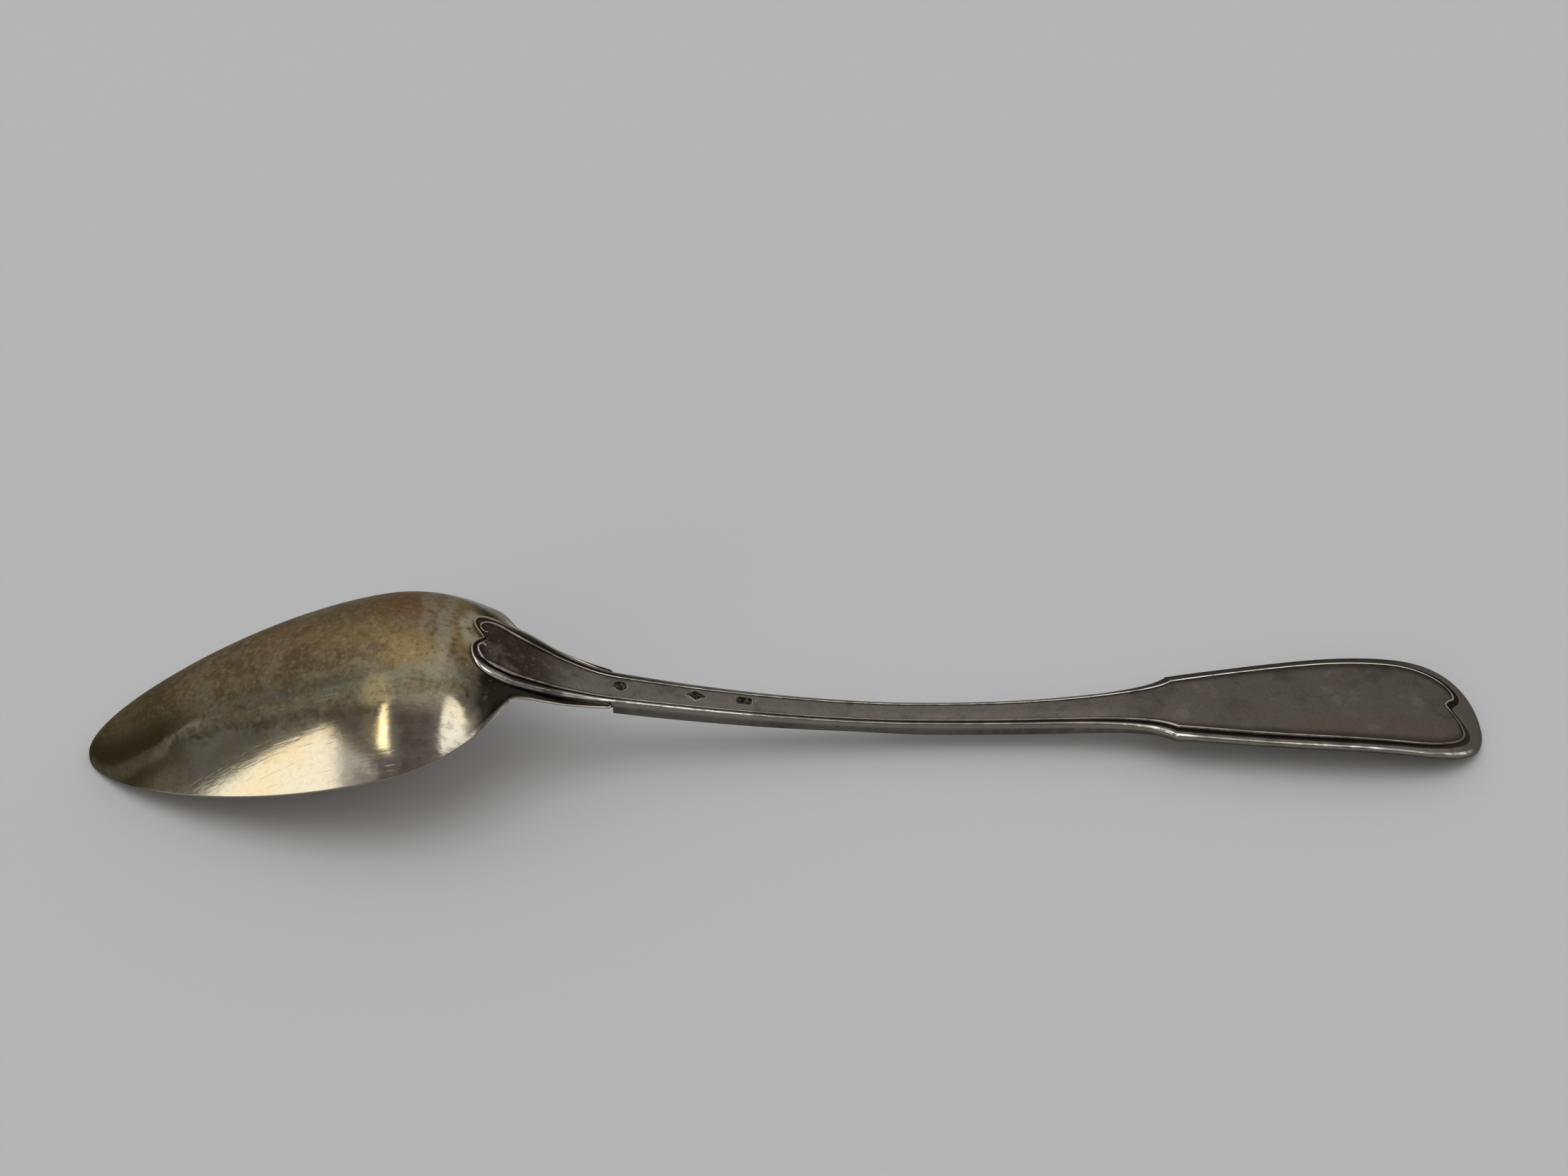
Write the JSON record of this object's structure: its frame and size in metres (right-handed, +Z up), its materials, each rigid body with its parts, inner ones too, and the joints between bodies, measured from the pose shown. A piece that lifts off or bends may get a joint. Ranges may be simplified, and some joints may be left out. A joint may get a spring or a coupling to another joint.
{
  "type": "serving spoon",
  "caption": "Long silver serving spoon: deep pointed-egg bowl, scrolled tongue lapped on its back, threaded stem and flared fiddle end with a heart-shaped thread; ladles stew from a pot.",
  "frame": {"origin": "on the table under the middle of the spoon's length, on its middle plane", "axes": "+X from the bowl's tip to the fiddle end, +Y to the far side in the picture, +Z up; the spoon lies face down as pictured"},
  "size_m": [0.31, 0.058, 0.038],
  "materials": {
    "gold_toned_silver": "satin",
    "grey_toned_silver": "satin"
  },
  "bodies": {
    "root": {"bowl": "gold_toned_silver", "handle": "grey_toned_silver"}
  },
  "joints": []
}
